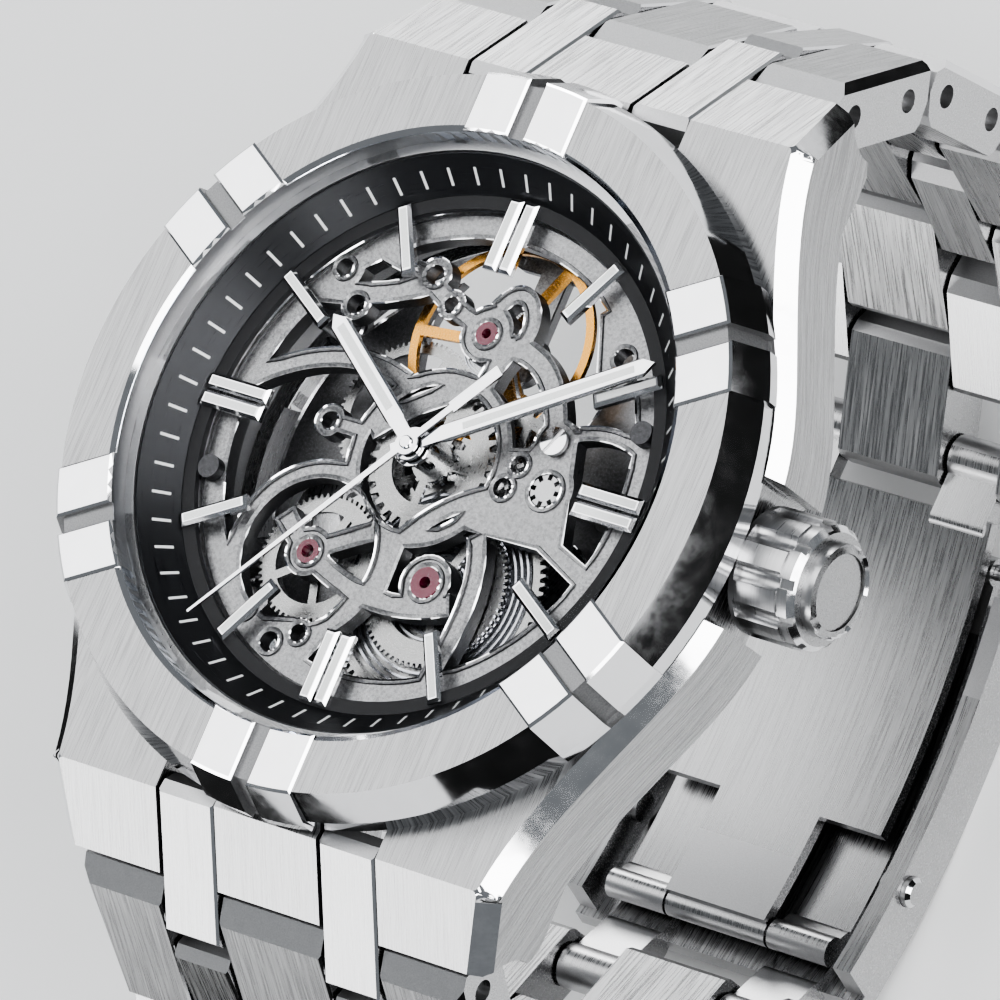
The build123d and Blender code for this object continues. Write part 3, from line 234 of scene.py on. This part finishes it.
lume = surface("lume_white", (0.94, 0.95, 0.94), 0.55, 12000, metallic=0.0, depth=2.0e-6, tone_swing=0.03)
gold = surface(
    "balance_gold", (0.56, 0.30, 0.085), 0.24, (14, 9000, 3000), centre=(BALANCE[0] * MM, BALANCE[1] * MM, 0),
    depth=8.0e-7, tone_swing=0.06,
)
blued = surface("spring_strip", (0.42, 0.43, 0.46), 0.22, (3000, 3000, 12000), depth=6.0e-7, tone_swing=0.08)
ruby = surface(
    "ruby", (0.15, 0.002, 0.028), 0.08, 1500, metallic=0.0, depth=1.0e-7, rough_swing=0.02, tone_swing=0.12
)
ruby.node_tree.nodes["Principled BSDF"].inputs["Coat Weight"].default_value = 0.6


# ---------------------------------------------------------------- helpers
def dress(node, materials, choose=None):
    """Gives a CAD node its materials; choose(centre, normal) picks one for each face, in millimetres."""
    obj = NODES[node]
    obj.data.materials.clear()
    for made in materials:
        obj.data.materials.append(made)
    for face in obj.data.polygons:
        face.material_index = choose(face.center / MM, face.normal) if choose else 0


def new_object(name, bm, materials):
    """A mesh object from a bmesh in millimetres."""
    mesh = bpy.data.meshes.new(name)
    bm.to_mesh(mesh)
    bm.free()
    mesh.transform(Matrix.Scale(MM, 4))
    for made in materials:
        mesh.materials.append(made)
    obj = bpy.data.objects.new(name, mesh)
    bpy.context.scene.collection.objects.link(obj)
    return obj


def mesh_piece(name, build, material, body, slot, *replaced):
    """A new piece, made by build(bm) in millimetres, that rides on a body."""
    bm = bmesh.new()
    build(bm)
    bmesh.ops.recalc_face_normals(bm, faces=bm.faces)
    obj = new_object(name, bm, [material])
    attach(obj, body)
    if replaced:
        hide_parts(*replaced)


SHARP_ANGLE = math.radians(28)
ENGRAVED_WALL = 0.03
SAME_LEVEL = 0.02
SAME_POINT = 1e-4


def faces_at(bm, axis, level):
    """The faces that look along axis at a level, in millimetres."""
    facing = [f for f in bm.faces if f.normal.dot(axis) > 0.9]
    return [f for f in facing if abs(f.calc_center_median().dot(axis) - level) < SAME_LEVEL]


def inset_flat(bm, upper, axis, level, thickness):
    """Insets a flat set of faces, lays it at a level along axis, and gives the new ring of faces."""
    ring = bmesh.ops.inset_region(bm, faces=upper, use_boundary=True, thickness=thickness)
    for vert in {v for f in upper for v in f.verts}:
        vert.co += axis * (level - vert.co.dot(axis))
    return ring["faces"]


def border_verts(faces):
    """The vertices on the border of a set of faces."""
    inside = set(faces)
    found = set()
    for line in {e for f in faces for e in f.edges}:
        if any(face not in inside for face in line.link_faces):
            found.update(line.verts)
    return found


def edge_engraving(bm, axis, level, chamfer, rim, depth, edge, side):
    """Bevels the border of the faces at a level and, inside a rim, sinks the field by depth."""
    upper = faces_at(bm, axis, level)
    border = border_verts(upper)
    for face in inset_flat(bm, upper, axis, level, chamfer):
        face.material_index = edge
    for vert in border:
        vert.co -= axis * chamfer
    if rim:
        inset_flat(bm, upper, axis, level, rim)
        for face in inset_flat(bm, upper, axis, level - depth, ENGRAVED_WALL):
            face.material_index = side


def engraved(node, body, levels, chamfer=0.07, rim=0.0, depth=0.1, edge=1, side=2):
    """Replaces a dressed node by one with engraved flats; levels holds (axis, level) pairs.

    edge and side are the material slots of the new bevels and walls; sizes are in millimetres.
    """
    bm = bmesh.new()
    bm.from_mesh(NODES[node].data)
    bmesh.ops.scale(bm, vec=(1 / MM, 1 / MM, 1 / MM), verts=bm.verts)
    bmesh.ops.remove_doubles(bm, verts=bm.verts, dist=SAME_POINT)
    for axis, level in levels:
        edge_engraving(bm, axis, level, chamfer, rim, depth, edge, side)
    bm.normal_update()
    for face in bm.faces:
        face.smooth = True
    for line in bm.edges:
        line.smooth = line.calc_face_angle(math.pi) < SHARP_ANGLE
    obj = new_object(f"{node}_detailed", bm, list(NODES[node].data.materials))
    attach(obj, body)
    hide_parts(node)


STEPS_PER_TURN = 72


def spiral_strip(bm, centre, r_in, r_out, turns, bottom, top, thick):
    """A wound strip standing on edge, thick across and as tall as top minus bottom."""
    count = int(turns * STEPS_PER_TURN)
    last = None
    for step in range(count + 1):
        share = step / count
        angle = share * turns * 2 * math.pi
        radius = r_in + (r_out - r_in) * share
        ring = []
        for offset, height in ((-thick, bottom), (thick, bottom), (thick, top), (-thick, top)):
            reach = radius + offset / 2
            x = centre[0] + reach * math.cos(angle)
            y = centre[1] + reach * math.sin(angle)
            ring.append(bm.verts.new((x, y, height)))
        if last:
            for side in range(4):
                bm.faces.new((last[side], last[(side + 1) % 4], ring[(side + 1) % 4], ring[side]))
        else:
            bm.faces.new(ring)
        last = ring
    bm.faces.new(list(reversed(last)))


def prism(bm, corners, lift):
    """A closed slab over a quad of corners, raised by the vector lift."""
    low = [bm.verts.new(c) for c in corners]
    high = [bm.verts.new(Vector(c) + lift) for c in corners]
    bm.faces.new(low)
    bm.faces.new(high)
    for k in range(4):
        bm.faces.new((low[k], low[(k + 1) % 4], high[(k + 1) % 4], high[k]))


def flat_or_edge(centre, normal):
    """Slot 0 for the faces that look up or down, 1 for the others."""
    return 0 if abs(normal.z) > 0.9 else 1


def flat_or_wall(centre, normal):
    """Slot 0 for the faces that look up or down, 2 for the others."""
    return 0 if abs(normal.z) > 0.9 else 2


# ---------------------------------------------------------------- case and bezel
FLAT_TOP = 0.985           # least upward part of the normal of a flat top
SHOULDER_FROM = 7.4
BORE_WITHIN = 15.1
BEZEL_BORE_WITHIN = 15.55
CLAW_GAP_WITHIN = 0.47     # from the middle of a pair of claws
CLAW_WITHIN = 3.1
CLAW_FLANK_FROM = 8.2
CLAW_SPACING = 60


def case_finish(centre, normal):
    """0: brushed top and lug slopes, 1: brushed flanks, 2: polished bevels, 3: satin bore and underside."""
    if normal.z > FLAT_TOP and centre.z > SHOULDER_FROM:
        return 0
    if math.hypot(centre.x, centre.y) < BORE_WITHIN or normal.z < -0.5:
        return 3
    lug_slope = abs(normal.y) > 0.5 and 0.5 < normal.z < 0.9 and abs(normal.x) < 0.2
    if lug_slope:
        return 0
    if 0.3 < normal.z < 0.97:
        return 2
    if abs(normal.z) < 0.2:
        return 1
    return 3


def claw_zone(centre):
    """Which part of a claw pair a point belongs to: 'gap', 'claw' or None."""
    turn = math.degrees(math.atan2(centre.y, centre.x)) % CLAW_SPACING - CLAW_SPACING / 2
    side = abs(math.hypot(centre.x, centre.y) * math.sin(math.radians(turn)))
    if side < CLAW_GAP_WITHIN:
        return "gap"
    if side < CLAW_WITHIN:
        return "claw"
    return None


def bezel_finish(centre, normal):
    """0: brushed top, 1: polished claws and slope, 2: grained gaps, 3: satin bore and underside."""
    zone = claw_zone(centre)
    if math.hypot(centre.x, centre.y) < BEZEL_BORE_WITHIN or normal.z < -0.3:
        return 3
    if zone == "gap":
        return 2
    if zone == "claw" and centre.z > CLAW_FLANK_FROM:
        return 1
    if normal.z > FLAT_TOP:
        return 0
    return 1


dress("case_middle", [brushed_y, brushed_flank, polished, satin], case_finish)
dress("bezel", [brushed_y, polished, sunk, satin], bezel_finish)
dress("crystal", [sapphire("sapphire")])
dress("caseback_glass", [sapphire("back_sapphire")])
back_turned = turned_metal("caseback_turned", DIAL_CENTRE, STEEL, 0.26, turns=30, fine=16000)
dress("caseback_ring", [back_turned, polished], flat_or_edge)
dress("lug_pins", [satin])
dress("movement_ring", [sunk])
dress("dial_ring", [dial_black])
dress("rehaut", [rehaut_dark])

# ---------------------------------------------------------------- links and clasp
link_brushed = surface("link_brushed", LINK_STEEL, 0.29, (ACROSS, ALONG, ALONG), tone_swing=0.24)
link_side = surface("link_side", STEEL, 0.24, (ALONG, ACROSS, ACROSS), depth=1.0e-6)


def dress_link(node):
    """0: brushed broad faces, 1: brushed sides, 2: polished bevels of the sides, 3: satin ends."""
    widest = 0
    outward = UP
    for face in NODES[node].data.polygons:
        if abs(face.normal.x) < 0.02 and face.area > widest:
            widest = face.area
            outward = face.normal.copy()

    def link_finish(centre, normal):
        if abs(normal.x) > 0.9:
            return 1
        if abs(normal.x) < 0.05 and abs(normal.dot(outward)) > 0.95:
            return 0
        if abs(normal.x) < 0.05:
            return 3
        return 2

    dress(node, [link_brushed, link_side, polished, satin], link_finish)


for name in NODES:
    if name.startswith(("bars_", "row_", "clasp_")):
        dress_link(name)

# ---------------------------------------------------------------- crown and stem
crown_cap = surface("crown_cap", CAP_STEEL, 0.30, 9000, depth=3e-6)
crown_grip = surface("crown_grip", STEEL, 0.30, (9000, 500, 500), depth=6.0e-7, rough_swing=0.03)
crown_edge = surface("crown_edge", BRIGHT, 0.16, 2000, depth=3e-7, tone_swing=0.03)
crown_wall = surface("crown_wall", (0.12, 0.12, 0.12), 0.4, 4000, depth=5e-7)


def crown_finish(centre, normal):
    """0: the grip's flutes, 1: the end, 2: the bevels between them."""
    if normal.x > 0.9:
        return 1
    return 0 if abs(normal.x) < 0.3 else 2


dress("crown", [crown_grip, crown_cap, crown_edge], crown_finish)
NODES["crown"].data.materials.append(crown_wall)
engraved("crown", "crown", [(OUT_RIGHT, CROWN_END)], chamfer=0.14, rim=0.3, edge=2, side=3)
dress("winding_stem", [satin])

# ---------------------------------------------------------------- movement
dress("main_plate", [grained, plate_edge, plate_wall], flat_or_wall)
dress("balance_cock", [grained, plate_edge, plate_wall], flat_or_wall)
bridge_grain = surface("bridge_grain", BRIDGE_GREY, 0.36, 7000, depth=1.0e-5, tone_swing=0.2)
dress("train_bridge", [bridge_grain, plate_edge, plate_wall], flat_or_wall)
engraved("main_plate", "case", [(UP, PLATE_TOP)], rim=0.17)
engraved("train_bridge", "case", [(UP, BRIDGE_TOP), (DOWN, -BRIDGE_BOTTOM)], chamfer=0.1)
engraved("balance_cock", "case", [(UP, BRIDGE_TOP)])
rotor_turned = turned_metal("rotor_turned", DIAL_CENTRE, ROTOR_GREY, 0.3, turns=14, fine=9000)
dress("rotor", [rotor_turned, plate_edge, plate_wall], flat_or_edge)
engraved("rotor", "rotor", [(DOWN, -ROTOR_BOTTOM)], chamfer=0.1, rim=0.3, depth=0.08)

WHEEL_CENTRES = {
    "cannon_pinion": DIAL_CENTRE,
    "hour_wheel": DIAL_CENTRE,
    "seconds_wheel": DIAL_CENTRE,
    "minute_wheel": along(8, 4.25),
    "third_wheel": along(150, 4.3),
    "escape_wheel": along(35, 4.25),
    "barrel_drum": BARREL,
    "ratchet_wheel": BARREL,
    "reduction_wheel": REDUCTION,
}
for name, centre in WHEEL_CENTRES.items():
    wheel_turned = turned_metal(f"{name}_turned", centre, WHEEL_GREY, 0.30, turns=10, fine=9000, depth=1e-6)
    dress(name, [wheel_turned, plate_edge], flat_or_edge)
dress("pallet_fork", [plate_edge])

DIAL_POSTS_FROM = 10       # radius
STANDING_SCREW_FROM_Y = 1.5
post_dark = surface("post_dark", POST_GREY, 0.42, 7000, depth=8.0e-6, tone_swing=0.35)


def screw_finish(centre, normal):
    """0: polished head of the standing screw, 1: satin notched screw, 2: dark dial posts."""
    if math.hypot(centre.x, centre.y) > DIAL_POSTS_FROM:
        return 2
    if normal.z > 0.9 and centre.y > STANDING_SCREW_FROM_Y:
        return 0
    return 1


def mainspring(bm):
    spiral_strip(bm, BARREL, r_in=1.55, r_out=5.1, turns=10.5, bottom=5.48, top=5.78, thick=0.12)


def hairspring(bm):
    spiral_strip(bm, BALANCE, r_in=0.75, r_out=1.95, turns=9.0, bottom=5.75, top=5.89, thick=0.035)


dress("movement_screws", [polished, satin, post_dark], screw_finish)
dress("jewels", [ruby])
dress("balance_wheel", [gold])
dress("hairspring", [blued])
dress("mainspring", [blued])
mesh_piece("mainspring_coil", mainspring, blued, "barrel", "spring_steel", "mainspring")
mesh_piece("hairspring_coil", hairspring, blued, "balance", "spring_steel", "hairspring")

# ---------------------------------------------------------------- dial furniture
for name in ("hour_hand", "minute_hand", "seconds_hand", "hour_markers"):
    dress(name, [polished])


def on_rehaut(radius):
    """Height of the rehaut's cone at a radius."""
    slope = (REHAUT_TOP - REHAUT_BOTTOM) / (REHAUT_OUTER - REHAUT_INNER)
    return REHAUT_BOTTOM + (radius - REHAUT_INNER) * slope


def strip(bm, angle, start, end, width, lean=0.0, sideways=0.0):
    """A thin bar between two points (radius, height) along a direction from the dial's centre.

    lean tilts its thickness towards the centre, and sideways moves it off the direction.
    """
    outward = Vector((*along(angle, 1), 0))
    across = UP.cross(outward)
    corners = []
    for (radius, height), side in ((start, -1), (start, 1), (end, 1), (end, -1)):
        offset = sideways + side * width / 2
        corners.append(outward * radius + across * offset + UP * height)
    prism(bm, corners, (UP - outward * lean) * PRINT_THICKNESS)


def minute_ticks(bm):
    start = (TICK_INNER, on_rehaut(TICK_INNER))
    end = (TICK_OUTER, on_rehaut(TICK_OUTER))
    for minute in range(60):
        strip(bm, 6 * minute, start, end, width=0.15, lean=1)


def hour_lume(bm):
    strip(bm, HOUR_ANGLE, (2.6, HOUR_HAND_TOP), (8.3, HOUR_HAND_TOP), width=0.42)


def minute_lume(bm):
    strip(bm, MINUTE_ANGLE, (3.0, MINUTE_HAND_TOP), (12.4, MINUTE_HAND_TOP), width=0.36)


def marker_lume(bm):
    """One strip on each hour marker, and two on the double ones at 12, 3, 6 and 9 o'clock."""
    for hour in range(12):
        is_double = hour % 3 == 0
        for sideways in ((-0.46, 0.46) if is_double else (0.0,)):
            strip(bm, 30 * hour, (9.85, MARKER_TOP), (13.05, MARKER_TOP), width=0.36, sideways=sideways)


mesh_piece("minute_ticks", minute_ticks, white_print, "case", "dial_black")
mesh_piece("hour_lume", hour_lume, lume, "hour_train", "polished_steel")
mesh_piece("minute_lume", minute_lume, lume, "minute_train", "polished_steel")
mesh_piece("marker_lume", marker_lume, lume, "case", "polished_steel")

# ---------------------------------------------------------------- stage, light, camera; metres
FLOOR_SIZE = 6
FLOOR_Z = CAD_BOX[0].z
FLAG_REACH = 70            # millimetres
FLAG_STEPS = 24
CAMERA_PLACE = Vector((0.317484, -0.087821, 0.448778))
CAMERA_RIGHT = Vector((0.786573, 0.388056, -0.480328))
CAMERA_BACK = Vector((0.570356, -0.158481, 0.805964))
CAMERA_LENS = 410.76

bpy.ops.mesh.primitive_plane_add(size=FLOOR_SIZE, location=(0, 0, FLOOR_Z))
floor = bpy.context.object
floor.name = "floor"
floor_look = surface(
    "pale_floor", (0.90, 0.90, 0.90), 0.75, 60, metallic=0.0, depth=2e-5, rough_swing=0.05, tone_swing=0.01
)
floor.data.materials.append(floor_look)

world = bpy.data.worlds.new("studio")
bpy.context.scene.world = world
world.use_nodes = True
sky = world.node_tree.nodes["Background"]
sky.inputs["Color"].default_value = (0.9, 0.95, 1.0, 1)
sky.inputs["Strength"].default_value = 0.24


def softbox(name, direction, distance, size, power, size_y=None):
    """A large area light that faces the watch."""
    data = bpy.data.lights.new(name, "AREA")
    data.shape = "RECTANGLE"
    data.size = size
    data.size_y = size_y or size
    data.energy = power
    lamp = bpy.data.objects.new(name, data)
    bpy.context.scene.collection.objects.link(lamp)
    away = Vector(direction).normalized()
    lamp.location = away * distance
    lamp.rotation_mode = "QUATERNION"
    lamp.rotation_quaternion = away.to_track_quat("Z", "Y")


softbox("key", (-0.57, 0.16, 0.81), distance=0.70, size=0.42, power=1.15)
softbox("left_front", (-0.60, -0.78, 0.16), distance=0.75, size=0.50, size_y=0.22, power=1.7)
softbox("left_back", (-0.60, 0.80, 0.10), distance=0.75, size=0.50, size_y=0.20, power=2.0)
softbox("right_bank", (0.83, 0.18, 0.56), distance=0.75, size=1.05, size_y=0.16, power=2.7)
softbox("top_fill", (0.45, -0.10, 0.88), distance=0.50, size=0.30, power=1.3)
softbox("front", (0.35, -0.85, 0.55), distance=0.80, size=0.30, size_y=0.16, power=0.9)


def flag(name, start, end, top):
    """A dark card round part of the watch that only reflections see; degrees and millimetres."""
    bm = bmesh.new()
    low = []
    high = []
    for step in range(FLAG_STEPS + 1):
        place = along(start + (end - start) * step / FLAG_STEPS, FLAG_REACH)
        low.append(bm.verts.new((*place, FLOOR_Z / MM)))
        high.append(bm.verts.new((*place, top)))
    for k in range(FLAG_STEPS):
        bm.faces.new((low[k], low[k + 1], high[k + 1], high[k]))
    card = new_object(name, bm, [flag_look])
    card.visible_camera = False
    card.visible_diffuse = False
    card.visible_shadow = False
    card.visible_transmission = False


flag_look = new_material("flag_black", (0.01, 0.01, 0.01), 0.8, metallic=0.0)
flag("dark_flag_right", start=-75, end=75, top=-2.8)
flag("dark_flag_left", start=-170, end=-75, top=-17)

camera_data = bpy.data.cameras.new("camera")
camera_data.sensor_width = 36
camera_data.lens = CAMERA_LENS
camera_data.clip_start = 0.01
camera_data.clip_end = 20
camera = bpy.data.objects.new("camera", camera_data)
bpy.context.scene.collection.objects.link(camera)
back = CAMERA_BACK.normalized()
right = (CAMERA_RIGHT - back * CAMERA_RIGHT.dot(back)).normalized()
up = back.cross(right)
turn = Matrix((right, up, back)).transposed().to_4x4()
camera.matrix_world = Matrix.Translation(CAMERA_PLACE) @ turn
bpy.context.scene.camera = camera
bpy.context.scene.view_settings.view_transform = "AgX"
bpy.context.scene.view_settings.look = "AgX - High Contrast"

bpy.context.view_layer.update()
